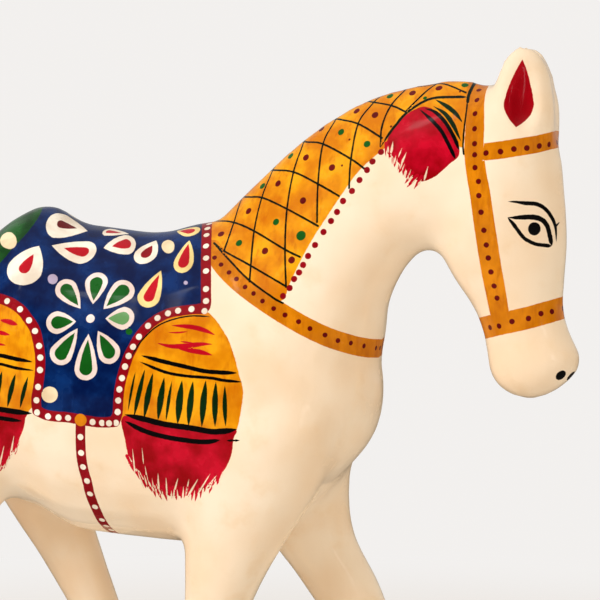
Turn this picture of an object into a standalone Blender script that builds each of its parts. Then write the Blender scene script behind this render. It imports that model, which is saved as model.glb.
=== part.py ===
"""A papier-mache horse: one hollow-moulded figure, walking, painted all over.

The figure is a single closed solid. Trunk, neck, head, ears, legs and tail are lofted
from a few stations each, fused into one skin, and the creases between them are filled
the way paper pulp fills them. Metres, +Z up, the horse faces +X, and the middle of its
footprint is at the origin.
"""

import math

import bmesh
import bpy
import numpy as np

# Driving dimension: from the soles to the tips of the ears.
HEIGHT = 0.185

# Every proportion of the figure below is in hundredths of its height.
SHARE = HEIGHT / 100

# How the skin is made: the grid that fuses the lofts, and how far pulp fills a crease.
GRID = 0.70 * SHARE
RING_POINTS = 28
STEPS_BETWEEN_STATIONS = 5
CREASE_ROUNDS = 45
CREASE_FILL = 0.6
POLISH_ROUNDS = 20
POLISH_SMOOTH = 0.55
POLISH_RESTORE = 0.57
FACES_WANTED = 9800

# A station is (x, y, z, half depth, half width, crest). Half depth is measured in the
# side view across the limb, half width along Y. Crest narrows the section towards its
# upper or front side: 0 is an even oval, 0.3 a third narrower at the top.
TRUNK = (
    (-38.6, 0, 60.0, 0.8, 0.8, 0.00),
    (-37.3, 0, 60.0, 6.8, 6.0, 0.00),
    (-34.6, 0, 58.0, 11.6, 10.2, 0.05),
    (-30.0, 0, 56.9, 16.1, 12.8, 0.08),
    (-25.2, 0, 56.8, 19.8, 14.0, 0.10),
    (-20.8, 0, 56.8, 21.3, 14.6, 0.12),
    (-16.0, 0, 54.5, 21.4, 14.7, 0.12),
    (-11.0, 0, 53.8, 21.4, 14.6, 0.12),
    (-4.0, 0, 53.3, 21.4, 14.4, 0.12),
    (3.0, 0, 54.0, 22.2, 14.0, 0.16),
    (10.0, 0, 54.6, 21.4, 13.6, 0.20),
    (16.8, 0, 54.6, 17.4, 12.2, 0.10),
    (22.4, 0, 54.0, 11.4, 9.4, 0.00),
    (26.0, 0, 53.4, 6.0, 5.4, 0.00),
    (27.2, 0, 53.4, 0.8, 0.8, 0.00),
)
NECK = (
    (3.0, 0, 50.0, 13.0, 11.0, 0.10),
    (8.4, 0, 57.4, 15.8, 12.0, 0.24),
    (13.2, 0, 64.7, 15.5, 10.6, 0.30),
    (17.7, 0, 72.2, 12.5, 8.6, 0.32),
    (22.6, 0, 78.1, 11.2, 7.2, 0.32),
    (28.2, 0, 82.3, 10.7, 6.4, 0.30),
    (34.0, 0, 83.9, 11.0, 6.0, 0.26),
    (39.5, 0, 84.2, 11.0, 5.8, 0.22),
    (44.0, 0, 83.6, 8.6, 5.2, 0.20),
    (46.0, 0, 83.6, 2.0, 1.6, 0.00),
)
HEAD = (
    (44.8, 0, 95.0, 0.8, 0.8, 0.00),
    (44.8, 0, 94.4, 3.0, 3.2, 0.00),
    (44.9, 0, 92.0, 5.2, 5.2, 0.10),
    (44.9, 0, 86.2, 6.7, 6.3, 0.16),
    (44.2, 0, 79.4, 8.3, 6.6, 0.20),
    (44.1, 0, 73.6, 8.6, 6.3, 0.18),
    (45.0, 0, 69.2, 7.4, 5.6, 0.12),
    (46.3, 0, 65.1, 6.0, 4.8, 0.08),
    (47.4, 0, 61.7, 5.8, 4.5, 0.05),
    (48.4, 0, 58.5, 6.2, 4.8, 0.00),
    (48.2, 0, 56.3, 5.5, 4.5, 0.00),
    (47.9, 0, 54.6, 3.9, 3.5, 0.00),
    (47.8, 0, 53.6, 2.0, 2.0, 0.00),
    (47.8, 0, 53.2, 0.5, 0.5, 0.00),
)
EAR = (
    (47.7, 3.6, 84.6, 1.4, 0.9, 0.00),
    (47.7, 3.7, 86.6, 3.3, 1.8, 0.00),
    (47.6, 3.2, 90.9, 3.8, 2.0, 0.00),
    (47.4, 2.8, 93.2, 3.7, 1.9, 0.00),
    (47.3, 2.4, 95.4, 3.4, 1.7, 0.00),
    (47.2, 2.1, 97.1, 2.9, 1.4, 0.00),
    (47.1, 1.8, 98.4, 2.3, 1.1, 0.00),
    (47.0, 1.6, 99.4, 1.5, 0.8, 0.00),
    (47.0, 1.5, 100.0, 0.5, 0.4, 0.00),
)
# How much nearer the mid plane an ear's front edge stands, for each unit further forward.
EAR_TOE_IN = 0.4
# Legs run from inside the trunk to below the ground, where the soles are cut flat.
NEAR_FRONT_LEG = (
    (14.0, 5.0, 58.0, 5.0, 4.0, 0.00),
    (13.0, 6.2, 50.0, 10.3, 7.6, 0.00),
    (11.0, 6.9, 41.0, 9.6, 6.9, 0.00),
    (8.7, 7.2, 33.0, 6.9, 5.4, 0.00),
    (6.5, 7.3, 25.0, 4.7, 4.3, 0.00),
    (4.9, 7.4, 16.5, 3.5, 3.2, 0.00),
    (4.2, 7.4, 9.5, 2.6, 2.5, 0.00),
    (4.3, 7.4, 5.6, 2.8, 2.7, 0.00),
    (5.2, 7.4, 2.6, 3.5, 3.2, 0.00),
    (5.8, 7.4, -1.4, 4.1, 3.7, 0.00),
)
FAR_FRONT_LEG = (
    (14.0, 5.0, 58.0, 5.0, 4.0, 0.00),
    (13.2, 6.2, 50.0, 10.2, 7.6, 0.00),
    (13.0, 6.9, 41.0, 7.8, 6.5, 0.00),
    (14.9, 7.2, 33.0, 6.3, 5.3, 0.00),
    (19.9, 7.3, 25.0, 5.3, 4.3, 0.00),
    (24.4, 7.4, 16.5, 3.9, 3.2, 0.00),
    (27.0, 7.4, 9.5, 2.7, 2.5, 0.00),
    (28.2, 7.4, 5.6, 2.9, 2.7, 0.00),
    (29.7, 7.4, 2.6, 3.8, 3.2, 0.00),
    (30.7, 7.4, -1.4, 4.4, 3.7, 0.00),
)
NEAR_HIND_LEG = (
    (-25.0, 5.0, 64.0, 6.0, 4.5, 0.00),
    (-26.4, 6.8, 56.0, 11.0, 7.8, 0.00),
    (-29.4, 7.2, 45.0, 8.6, 6.6, 0.00),
    (-32.6, 7.3, 36.0, 6.4, 5.2, 0.00),
    (-34.9, 7.3, 27.0, 4.6, 4.2, 0.00),
    (-36.6, 7.4, 18.5, 3.5, 3.2, 0.00),
    (-36.6, 7.4, 10.5, 2.6, 2.5, 0.00),
    (-36.2, 7.4, 5.6, 2.8, 2.7, 0.00),
    (-35.2, 7.4, 2.6, 3.6, 3.2, 0.00),
    (-34.6, 7.4, -1.4, 4.2, 3.7, 0.00),
)
FAR_HIND_LEG = (
    (-24.0, 5.0, 64.0, 6.0, 4.5, 0.00),
    (-24.6, 6.8, 56.0, 11.5, 7.8, 0.00),
    (-26.4, 7.2, 45.0, 9.4, 6.6, 0.00),
    (-24.8, 7.3, 36.0, 6.4, 5.2, 0.00),
    (-20.4, 7.3, 27.0, 4.5, 4.1, 0.00),
    (-16.4, 7.4, 18.5, 3.4, 3.2, 0.00),
    (-14.8, 7.4, 10.5, 2.6, 2.5, 0.00),
    (-14.0, 7.4, 5.6, 2.8, 2.7, 0.00),
    (-12.8, 7.4, 2.6, 3.5, 3.2, 0.00),
    (-12.0, 7.4, -1.4, 4.1, 3.7, 0.00),
)
TAIL = (
    (-31.0, 0, 63.0, 2.5, 2.5, 0.00),
    (-36.0, 0, 66.0, 3.6, 3.4, 0.00),
    (-40.8, 0, 64.4, 3.6, 3.4, 0.00),
    (-44.2, 0, 57.6, 3.6, 3.7, 0.00),
    (-45.5, 0, 47.8, 3.7, 3.9, 0.00),
    (-45.8, 0, 37.4, 3.0, 3.2, 0.00),
    (-46.3, 0, 30.0, 1.7, 1.8, 0.00),
    (-46.5, 0, 28.2, 0.4, 0.4, 0.00),
)

# The hollow of each ear: a pointed drop pressed into its outer side. The ear's middle
# stands at this Y at the foot of the hollow, and leans in by this much a unit of rise.
EAR_MIDDLE_Y = 3.45
EAR_LEAN = 0.17
EAR_HOLLOW_X = 47.8
EAR_HOLLOW_TOP = 98.2
EAR_HOLLOW_FOOT = 89.0
EAR_HOLLOW_HALF_WIDTH = 1.85
EAR_HOLLOW_DEPTH = 1.1

# The most that sqrt(rise) * (1 - rise), the outline of a drop, comes to.
DROP_PEAK = 2 / 27**0.5

NEAR, FAR = -1, 1
FORWARD, DOWN = (1.0, 0.0, 0.0), (0.0, 0.0, -1.0)
LACQUERED_CREAM = (0.90, 0.78, 0.58, 1.0)


def clear_scene():
    for thing in list(bpy.data.objects):
        bpy.data.objects.remove(thing, do_unlink=True)


def along_stations(stations):
    """A smooth run of rows through the stations: a Catmull-Rom curve in every column."""
    rows = np.array(stations, float)
    ends = np.vstack((2 * rows[0] - rows[1], rows, 2 * rows[-1] - rows[-2]))
    found = []
    for before, start, end, after in zip(ends, ends[1:], ends[2:], ends[3:]):
        for step in range(STEPS_BETWEEN_STATIONS):
            t = step / STEPS_BETWEEN_STATIONS
            found.append(
                0.5
                * (
                    2 * start
                    + (end - before) * t
                    + (2 * before - 5 * start + 4 * end - after) * t**2
                    + (3 * start - before - 3 * end + after) * t**3
                )
            )
    found.append(rows[-1])
    return np.array(found)


def ring_of(row, tangent):
    """The points of one oval section, square to the limb's run."""
    x, y, z, deep, wide, crest = row
    tangent = tangent / np.linalg.norm(tangent)
    outward = np.cross(tangent, (0.0, 1.0, 0.0))
    outward /= np.linalg.norm(outward)
    sideways = np.cross(outward, tangent)
    turn = np.arange(RING_POINTS) * 2 * math.pi / RING_POINTS
    rise, across = np.sin(turn), np.cos(turn)
    narrowed = wide * (1 - crest * rise)
    return (
        np.array((x, y, z))
        + np.outer(rise * deep, outward)
        + np.outer(across * narrowed, sideways)
    )


def add_loft(skin, stations, side=FAR, facing=None, toe_in=0.0):
    """Adds a closed tube through the stations to the bmesh. Near ones mirror in Y.

    Its sections all face one way when facing is given, and follow its run otherwise.
    Toe-in turns their front edges towards the mid plane.
    """
    rows = along_stations([(x, side * y, *rest) for x, y, *rest in stations])
    tangents = np.gradient(rows[:, :3], axis=0)
    if facing is not None:
        tangents = np.tile(facing, (len(rows), 1))
    rings = []
    for row, tangent in zip(rows, tangents):
        points = ring_of(row, tangent)
        points[:, 1] -= side * toe_in * (points[:, 0] - row[0])
        points *= SHARE
        rings.append([skin.verts.new(point) for point in points])
    made = [skin.faces.new(rings[0]), skin.faces.new(reversed(rings[-1]))]
    for first, second in zip(rings, rings[1:]):
        for i in range(RING_POINTS):
            j = (i + 1) % RING_POINTS
            made.append(skin.faces.new((first[j], first[i], second[i], second[j])))
    bmesh.ops.recalc_face_normals(skin, faces=made)


def lofted_figure():
    skin = bmesh.new()
    add_loft(skin, TRUNK, facing=FORWARD)
    add_loft(skin, NECK)
    add_loft(skin, HEAD, facing=DOWN)
    add_loft(skin, TAIL)
    add_loft(skin, EAR, NEAR, toe_in=EAR_TOE_IN)
    add_loft(skin, EAR, FAR, toe_in=EAR_TOE_IN)
    add_loft(skin, NEAR_FRONT_LEG, NEAR, facing=DOWN)
    add_loft(skin, NEAR_HIND_LEG, NEAR, facing=DOWN)
    add_loft(skin, FAR_FRONT_LEG, FAR, facing=DOWN)
    add_loft(skin, FAR_HIND_LEG, FAR, facing=DOWN)
    mesh = bpy.data.meshes.new("horse")
    skin.to_mesh(mesh)
    skin.free()
    return mesh


def with_modifier(horse, kind, **settings):
    """Replaces the object's mesh with itself as the modifier leaves it."""
    modifier = horse.modifiers.new(kind.title(), kind)
    for name, value in settings.items():
        setattr(modifier, name, value)
    graph = bpy.context.evaluated_depsgraph_get()
    made = bpy.data.meshes.new_from_object(horse.evaluated_get(graph))
    horse.modifiers.clear()
    horse.data = made


def points_of(mesh):
    flat = np.empty(len(mesh.vertices) * 3, np.float32)
    mesh.vertices.foreach_get("co", flat)
    return flat.reshape(-1, 3).astype(float)


def set_points(mesh, points):
    mesh.vertices.foreach_set("co", points.astype(np.float32).ravel())
    mesh.update()


def edges_of(mesh):
    flat = np.empty(len(mesh.edges) * 2, np.int32)
    mesh.edges.foreach_get("vertices", flat)
    return flat.reshape(-1, 2)


def pull_to_neighbours(points, edges):
    """For each point, the step from it to the middle of the points it is joined to."""
    first, second = edges.T
    count = np.bincount(edges.ravel(), minlength=len(points))
    total = np.zeros_like(points)
    for axis in range(3):
        total[:, axis] = np.bincount(first, points[second, axis], len(points))
        total[:, axis] += np.bincount(second, points[first, axis], len(points))
    return total / count[:, None] - points


def fill_creases(mesh):
    """Builds up concave creases, and leaves convex skin where it is, as pulp does."""
    points, edges = points_of(mesh), edges_of(mesh)
    for _ in range(CREASE_ROUNDS):
        set_points(mesh, points)
        normals = np.array([vertex.normal for vertex in mesh.vertices])
        pull = pull_to_neighbours(points, edges)
        hollow = np.sum(pull * normals, axis=1) > 0
        points = points + CREASE_FILL * pull * hollow[:, None]
    set_points(mesh, points)


def polish(mesh):
    """Smooths without shrinking: each round of smoothing is followed by its inverse."""
    points, edges = points_of(mesh), edges_of(mesh)
    for _ in range(POLISH_ROUNDS):
        points = points + POLISH_SMOOTH * pull_to_neighbours(points, edges)
        points = points - POLISH_RESTORE * pull_to_neighbours(points, edges)
    set_points(mesh, points)


def press_ear_hollows(mesh):
    """Presses a drop-shaped hollow into the outer side of each ear."""
    points = points_of(mesh)
    x, y, z = (points / SHARE).T
    rise = (z - EAR_HOLLOW_FOOT) / (EAR_HOLLOW_TOP - EAR_HOLLOW_FOOT)
    rise = np.clip(rise, 0, 1)
    half_width = EAR_HOLLOW_HALF_WIDTH * np.sqrt(rise) * (1 - rise) / DROP_PEAK
    from_middle = np.abs(x - EAR_HOLLOW_X) / np.maximum(half_width, 1e-6)
    ear_middle_y = EAR_MIDDLE_Y - EAR_LEAN * (z - EAR_HOLLOW_FOOT)
    ear_middle_y -= EAR_TOE_IN * (x - EAR_HOLLOW_X)
    depth = np.clip(1 - from_middle**2, 0, 1) * half_width / EAR_HOLLOW_HALF_WIDTH
    depth *= np.abs(y) > ear_middle_y
    points[:, 1] -= np.sign(y) * depth * EAR_HOLLOW_DEPTH * SHARE
    set_points(mesh, points)


def cut_soles(mesh):
    """Cuts everything below the ground away and closes the soles flat."""
    skin = bmesh.new()
    skin.from_mesh(mesh)
    every = [*skin.verts, *skin.edges, *skin.faces]
    cut = bmesh.ops.bisect_plane(
        skin, geom=every, plane_co=(0, 0, 0), plane_no=(0, 0, 1), clear_inner=True
    )
    rims = [item for item in cut["geom_cut"] if isinstance(item, bmesh.types.BMEdge)]
    soles = bmesh.ops.holes_fill(skin, edges=rims)
    bmesh.ops.triangulate(skin, faces=soles["faces"])
    bmesh.ops.recalc_face_normals(skin, faces=skin.faces)
    skin.to_mesh(mesh)
    skin.free()


def centre_on_footprint(mesh):
    points = points_of(mesh)
    middle = (points.min(axis=0) + points.max(axis=0)) / 2
    points[:, :2] -= middle[:2]
    set_points(mesh, points)


def lacquered_skin():
    material = bpy.data.materials.new("painted skin")
    material.use_nodes = True
    shader = material.node_tree.nodes["Principled BSDF"]
    shader.inputs["Base Color"].default_value = LACQUERED_CREAM
    shader.inputs["Roughness"].default_value = 0.25
    shader.inputs["Metallic"].default_value = 0.0
    return material


def make_horse():
    horse = bpy.data.objects.new("horse", lofted_figure())
    bpy.context.scene.collection.objects.link(horse)
    with_modifier(horse, "REMESH", mode="VOXEL", voxel_size=GRID)
    fill_creases(horse.data)
    polish(horse.data)
    press_ear_hollows(horse.data)
    faces_now = 2 * len(horse.data.polygons)
    with_modifier(horse, "DECIMATE", ratio=FACES_WANTED / faces_now)
    cut_soles(horse.data)
    centre_on_footprint(horse.data)
    horse.data.materials.clear()
    horse.data.materials.append(lacquered_skin())
    horse.data.shade_smooth()
    return horse


clear_scene()
make_horse()
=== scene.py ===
"""The look of the papier-mache horse: a fine lacquered skin, ornament laid on it as brush
marks, and a pale studio.

Every mark of paint is shaped in the shader from values kept on the mesh: where a point of
the skin lies in the mark's own flat frame, and the mark's curve, length, width and inks.
Spots are pixels of the 600 x 600 photograph, and are carried to the skin by its camera.
"""

import math
import random

import bpy
import numpy as np
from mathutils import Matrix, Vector, noise
from mathutils.bvhtree import BVHTree
from mathutils.kdtree import KDTree


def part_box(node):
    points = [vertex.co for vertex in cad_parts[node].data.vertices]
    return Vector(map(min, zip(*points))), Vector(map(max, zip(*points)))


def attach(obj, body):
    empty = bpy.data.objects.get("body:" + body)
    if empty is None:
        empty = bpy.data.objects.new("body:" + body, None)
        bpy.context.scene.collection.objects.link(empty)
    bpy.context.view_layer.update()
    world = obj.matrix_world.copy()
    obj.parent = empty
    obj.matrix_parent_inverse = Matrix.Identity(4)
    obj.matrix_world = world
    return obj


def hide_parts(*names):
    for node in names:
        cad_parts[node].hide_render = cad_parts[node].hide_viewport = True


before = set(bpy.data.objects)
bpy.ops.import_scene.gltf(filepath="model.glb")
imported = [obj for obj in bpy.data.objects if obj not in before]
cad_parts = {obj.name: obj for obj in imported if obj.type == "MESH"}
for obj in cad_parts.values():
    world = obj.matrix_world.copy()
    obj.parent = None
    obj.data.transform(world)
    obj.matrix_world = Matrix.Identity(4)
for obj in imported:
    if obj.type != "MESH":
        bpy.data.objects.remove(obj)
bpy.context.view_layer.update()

MM = 0.001

# The photograph's camera: angles, distance and how much it takes in at the horse.
AZIMUTH, ELEVATION = math.radians(17), math.radians(4)
DISTANCE = 0.70
VIEW_WIDTH = 0.1515
SENSOR_WIDTH = 36
PICTURE = 600
AIM = Vector((0.02441, 0, 0.12136))
BACK = Vector(
    (
        math.sin(AZIMUTH) * math.cos(ELEVATION),
        -math.cos(AZIMUTH) * math.cos(ELEVATION),
        math.sin(ELEVATION),
    )
)
RIGHT = Vector((math.cos(AZIMUTH), math.sin(AZIMUTH), 0))
UP = BACK.cross(RIGHT)
EYE = AIM + BACK * DISTANCE
PIXEL_MM = VIEW_WIDTH / PICTURE / MM

# The fine skin.
SKIN_GRID = 0.85 * MM
SKIN_ROUNDS = 30
SKIN_SMOOTH, SKIN_RESTORE = 0.55, 0.57
HAND_WAVE = 0.14 * MM
HAND_WAVES_PER_M = 85
SEED = 7


def srgb(red, green, blue):
    """A colour given as 0 to 255 on a screen, in the light values that shaders use."""
    found = []
    for level in (red, green, blue):
        share = level / 255
        found.append(share / 12.92 if share < 0.04045 else ((share + 0.055) / 1.055) ** 2.4)
    return tuple(found)


WHITE = srgb(255, 247, 228)
PALE_YELLOW = srgb(250, 226, 150)
PINK_WHITE = srgb(250, 234, 224)
LAVENDER = srgb(196, 184, 214)
CREAM_DOT = srgb(248, 228, 186)
RED = srgb(196, 6, 30)
TUFT_RED = srgb(205, 4, 38)
BORDER_RED = srgb(150, 6, 22)
DOT_RED = srgb(106, 8, 10)
PETAL_GREEN = srgb(18, 96, 24)
PALE_GREEN = srgb(110, 172, 104)
INK = srgb(8, 26, 8)
# The red of the ear's drop: red paint made darker than the other reds, as painted shade for the
# ear's hollow.
EAR_RED_WITH_PAINTED_SHADE = srgb(168, 0, 18)
LEAF = srgb(6, 42, 12)
BLACK = srgb(5, 6, 7)
HOOF = srgb(22, 18, 16)
OCHRE = srgb(226, 136, 6)
CREAM = srgb(255, 236, 206)

# The mane's lattice: lines that run up the neck, and lines that cross them.
MANE_UP = (
    ((286, 287), (285, 249), (287, 209), (293.5, 172), (303, 144)),
    ((249.5, 281.5), (254, 232), (262, 197), (272, 172)),
    ((224, 251), (234, 222)),
    ((317, 222), (318, 184), (323, 144), (336, 119)),
    ((349, 188), (351, 159), (358.5, 123), (374, 102)),
    ((380.5, 146), (382, 126.5), (391, 105.5), (408, 87)),
    ((406, 111), (425.5, 92), (437, 83.5)),
)
MANE_ACROSS = (
    ((213, 221), (232, 222), (254, 231), (284, 249), (300, 257)),
    ((248, 197), (263, 198), (287, 209), (318, 226)),
    ((272, 170), (293.5, 172), (318, 184), (339, 196)),
    ((307, 142), (323, 144), (351, 159), (366, 170)),
    ((338, 119), (358.5, 124), (382, 138)),
    ((366, 101), (391, 105.5), (406, 112)),
    ((408, 87), (425.5, 86), (444, 84), (467, 93)),
)
MANE_FOOT_LINES = (
    ((214, 243), (224, 251), (249.5, 265), (287, 287)),
    ((214, 243), (232, 263), (249.5, 280.5), (275, 299), (283, 303)),
)
MANE_TOP_LINE = (
    (380, 148), (389, 134), (397, 123.6), (406, 113.4), (421, 103), (434, 98), (453, 97), (467, 97),
)
STRAP_LINE = ((476, 80.5), (469.5, 93), (467.6, 102))
STRAP_LINE_LOW = ((467.6, 101), (466.3, 112), (464, 130), (463, 146.5), (463.8, 154))
MANE_RED_DOTS = (
    (221, 234), (248.5, 211), (265, 251), (278, 183.5), (291.6, 260), (303, 200.6), (306, 157.5),
    (332, 167.6), (356.6, 111), (375, 115), (321.6, 129), (412.5, 93), (439, 88),
)
MANE_GREEN_DOTS = (
    (239, 243), (276, 222), (290.6, 156), (262.5, 186), (341, 132), (367, 144), (390, 96),
    (424.5, 85), (465, 85),
)
MANE_LARGE_DOT = (301, 235.6)
MANE_SMALL_GREEN_DOT = (425, 98)
MANE_TINY_DOTS = ((342, 165.5), (349.5, 139.5), (391, 126.5), (460, 91.5))
MANE_EDGE_DOTS = (
    (381, 152), (372.5, 161.5), (367, 170), (359.5, 180), (352, 191), (343, 201), (337, 212),
    (331, 221), (323.5, 232), (315, 245), (308, 256), (303, 265), (299, 272.5), (294, 279),
    (289.6, 288), (283, 296),
)
MANE_OUTLINE = (
    (210, 224), (213, 245), (228, 262), (249.5, 281), (272, 298), (283, 300), (290, 283),
    (300, 262), (312, 240), (326, 218), (342, 194), (358, 172), (374, 157), (385, 148),
    (396, 141), (420, 146), (446, 152), (459, 146), (463, 150), (466, 120), (468, 100),
    (474, 84),
)

# Straps: the middle line of each, and its dots.
COLLAR = ((211, 247), (223, 266), (238, 281.5), (255, 295), (272.5, 307), (290, 318), (310, 329),
          (330, 338), (352.5, 345), (368, 348), (381, 348.5))
COLLAR_DOTS = (
    (214.5, 257.6), (221, 264.6), (229, 272.5), (236.5, 279), (245, 287), (253.5, 293.5),
    (262.5, 301), (273.6, 308.6), (285, 315), (298.6, 321.6), (310, 328.5), (325, 335),
    (338, 340.6), (351, 343), (364, 346), (376, 348),
)
CHEEK_STRAP = ((479, 82), (476, 100), (475, 127), (474, 150), (476, 172), (480, 195), (484, 223),
               (490, 262), (495, 290), (499, 313))
CHEEK_DOTS = (
    (482, 82.5), (479, 90), (477, 100), (475, 113.6), (474.6, 128.7), (474.6, 143.7), (474.6, 154.8),
    (475, 167.6), (478.4, 181.4), (478.8, 195.6), (481, 212.2), (483.9, 230.3), (486.3, 245),
    (488.2, 258), (491, 272), (494, 286), (497, 298),
)
BROWBAND = ((486, 151.7), (502, 149.8), (520, 147), (538, 144), (554, 140))
BROW_DOTS = ((486, 153), (500.5, 151.6), (513.9, 149), (526.9, 148), (539.3, 146), (549.2, 144.4))
NOSEBAND = ((483, 328), (500, 324), (525, 318.5), (545, 313), (562, 308))
NOSE_DOTS = (
    (482, 328), (490, 327.5), (499, 326), (512, 321.5), (528.5, 318.5), (541, 313.5), (552, 311.5),
)

# The tassel painted on the cheek.
CHEEK_TASSEL = (
    (385, 147), (389, 136), (398, 123.6), (408, 113.4), (421, 107), (431, 108.3), (441, 117),
    (451.6, 132.5), (459.3, 149), (458, 157), (449, 164.4), (436, 176), (425, 181), (418.5, 181),
    (412, 177), (404, 168), (395.5, 160), (389, 152),
)
CHEEK_STRIPES = (
    ((419.7, 109.5), (431.2, 119.7), (441.4, 131.2), (449, 145.3), (455.5, 159.3)),
    ((424.8, 108.3), (435, 112), (445.3, 122.3), (454.2, 137.6), (459.3, 150.4)),
)
CHEEK_LEAVES = (
    ((435, 99.3), (446.5, 106), (455.5, 113.4), (463, 123)),
    ((433.8, 106.4), (445.3, 114), (453, 124.8), (459.3, 137.6), (461.2, 141.4)),
)
CHEEK_FRINGE = ((386, 148), (394, 160), (403, 170), (411, 178), (419, 182))
CHEEK_GAPS = (
    (1.0, ((393, 141), (391, 154))), (0.9, ((406.5, 152), (401, 165))),
    (0.9, ((428, 166.5), (424, 181))), (0.5, ((402, 148), (398, 158))),
)

# The eye, the nostril and the hollow of the ear.
BROW = ((508, 201.5), (516, 202), (524, 203), (530.6, 203.4), (537, 204.2), (543.4, 207.4),
        (548.5, 212.4), (552, 218), (554.6, 223.5), (556, 231), (556.3, 242.5))
BROW_FLICK = ((555.5, 226.5), (559.8, 222))
UPPER_LID = ((507.7, 217.6), (516.6, 217.6), (525.5, 217.2), (533, 217.2), (539.5, 218.6),
             (544.6, 222), (547.8, 227.5), (549.7, 235), (551, 241), (552, 246))
LOWER_LID = ((507.7, 217.6), (512.8, 223.4), (518, 230.4), (523, 237), (528.7, 241), (535.7, 244),
             (543.4, 245.2), (552, 246))
PUPIL = (534.4, 228.8)
NOSTRIL, FAR_NOSTRIL = (561, 375.5), (571, 376)
EAR_DROP_MIDDLE, EAR_DROP_TIP, EAR_DROP_FOOT = (518.3, 102), (522.4, 59.5), (516, 127)

# The saddle cloth: the middle of its red border, and the drops, petals and dots on it.
CLOTH_FRONT = ((207, 222), (206.5, 240), (206, 262), (206, 285), (206, 304), (204, 309))
CLOTH_SHOULDER = (
    (204, 309), (193, 309.4), (177, 311.4), (167.6, 313.6), (157.5, 318.5), (147.8, 326),
    (138.8, 337), (133.2, 347), (128.5, 356), (125, 366.6), (121.8, 377.7), (119.4, 389.5),
    (118.3, 400.4), (117.6, 413), (115, 422),
)
CLOTH_FOOT = ((115, 422), (102, 422.5), (92, 421.6), (80, 419.5), (68, 417.5), (56, 416.5),
              (46, 415), (37, 411))
CLOTH_HIP = ((37, 411), (36, 400), (38, 387), (40, 370), (40, 357), (38.5, 345), (35, 330),
             (28.5, 319.5), (20, 309), (7, 301), (-10, 297), (-28, 298), (-44, 303))
CLOTH_HEM = ((-44, 303), (-60, 305), (-76, 303))
CLOTH_FRONT_DOTS = ((206.5, 235), (206, 246), (206, 258), (206, 271), (206, 289), (206, 301))
CLOTH_SHOULDER_DOTS = (
    (204.5, 311), (191.5, 309), (178, 310.7), (168, 313.3), (157.5, 318), (148, 325.8),
    (139, 336.8), (133, 346.8), (128.5, 356), (125, 366.5), (122, 378), (119.4, 389.4),
    (118.2, 400.5), (117.6, 412), (116, 423),
)
CLOTH_FOOT_DOTS = ((109, 423.3), (102, 423), (92.5, 422), (68, 418), (58.5, 417.6), (48, 416.4))
CLOTH_HIP_DOTS = (
    (37, 412.5), (36.4, 400.3), (38, 387), (40, 370), (40.3, 357.6), (39, 346), (35, 331),
    (29, 320.3), (20, 309.3), (7, 301), (-6, 297.5), (-18, 297), (-31, 299), (-43, 303),
    (-55, 305), (-67, 304.5),
)
CLOTH_KNOB = (80.6, 420)
SHOULDER_ARC = ((210, 316.7), (190.4, 316), (170.3, 320.3), (154.2, 328.4), (139.5, 343.4),
                (130.6, 358))
FLOWER_MIDDLE = (90.4, 318.5)
FLOWER_ENDS = ((98, 272), (131, 283), (134, 318), (114, 362), (85, 380), (55, 363), (46.5, 323),
               (60, 281))
FLOWER_STARTS = ((93, 304), (103.5, 309), (105.5, 318.5), (98, 331), (88.5, 334), (77.5, 328.5),
                 (76, 321.5), (80.5, 308.5))
PALE_PETALS = (2,)

# Drops: round end, tip and half width of the drop, then its core's half width, and inks.
DROPS = (
    ((24.5, 268), (39, 246), 17.0, 5.4, WHITE, RED),
    ((83.5, 252), (52, 245.5), 12.4, 5.2, WHITE, RED),
    ((61, 224), (87, 231), 13.8, 3.9, WHITE, DOT_RED),
    ((126.5, 243.6), (103.5, 248), 9.2, 4.6, WHITE, RED),
    ((146.2, 253.6), (156, 240.5), 10.8, 4.8, WHITE, BORDER_RED),
    ((183.6, 262), (189.4, 240.5), 9.8, 5.4, PALE_YELLOW, RED),
    ((149, 296.6), (161, 270.6), 10.8, 5.2, PALE_YELLOW, RED),
    ((190, 231), (177, 231), 7.6, 3.8, PALE_YELLOW, RED),
    ((108.5, 231.4), (129, 234), 5.0, 2.2, WHITE, RED),
)
CLOTH_DOTS = (
    ((168, 246), 6.4, CREAM_DOT), ((49.7, 394.7), 8.0, CREAM_DOT), ((52.7, 279), 5.0, LAVENDER),
    ((8, 240), 8.2, CREAM_DOT), ((185.7, 282.8), 2.0, LAVENDER), ((129, 331.7), 3.2, PETAL_GREEN),
    ((-12, 262), 7.0, CREAM_DOT), ((-34, 284), 5.0, WHITE),
)
HIDDEN_DROPS = (
    ((-8, 232), (8, 214), 13.0, 5.0, WHITE, RED),
    ((-38, 262), (-22, 244), 12.0, 4.8, WHITE, RED),
    ((-62, 286), (-56, 268), 9.0, 4.0, PALE_YELLOW, RED),
)
# Drops draw in towards their tips more or less: 0 is a full leaf, 1 a straight cone.
DROP_LEAN, PETAL_LEAN = 0.3, 0.35
SHORT_CORE, LONG_CORE = 0.62, 0.84
PETAL, PETAL_CORE = 11.2, 6.4
EAR_DROP_RADIUS = 13.0
EAR_TIP_LEAN, EAR_FOOT_LEAN = 0.4, -0.35
RUMP_OUTLINE = ((44, 205), (38, 218), (27, 233), (12, 249), (0, 263), (-16, 276), (-34, 290),
                (-52, 301), (-70, 306))
GIRTH = ((80.4, 423), (80.4, 437), (81, 453), (83, 467), (87, 481), (90, 494), (95, 507),
         (102, 521), (110, 530), (122.5, 537))
GIRTH_DOTS = ((80.4, 437), (81, 453), (83, 467), (87, 481), (90, 494), (95, 507), (102, 520))

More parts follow.
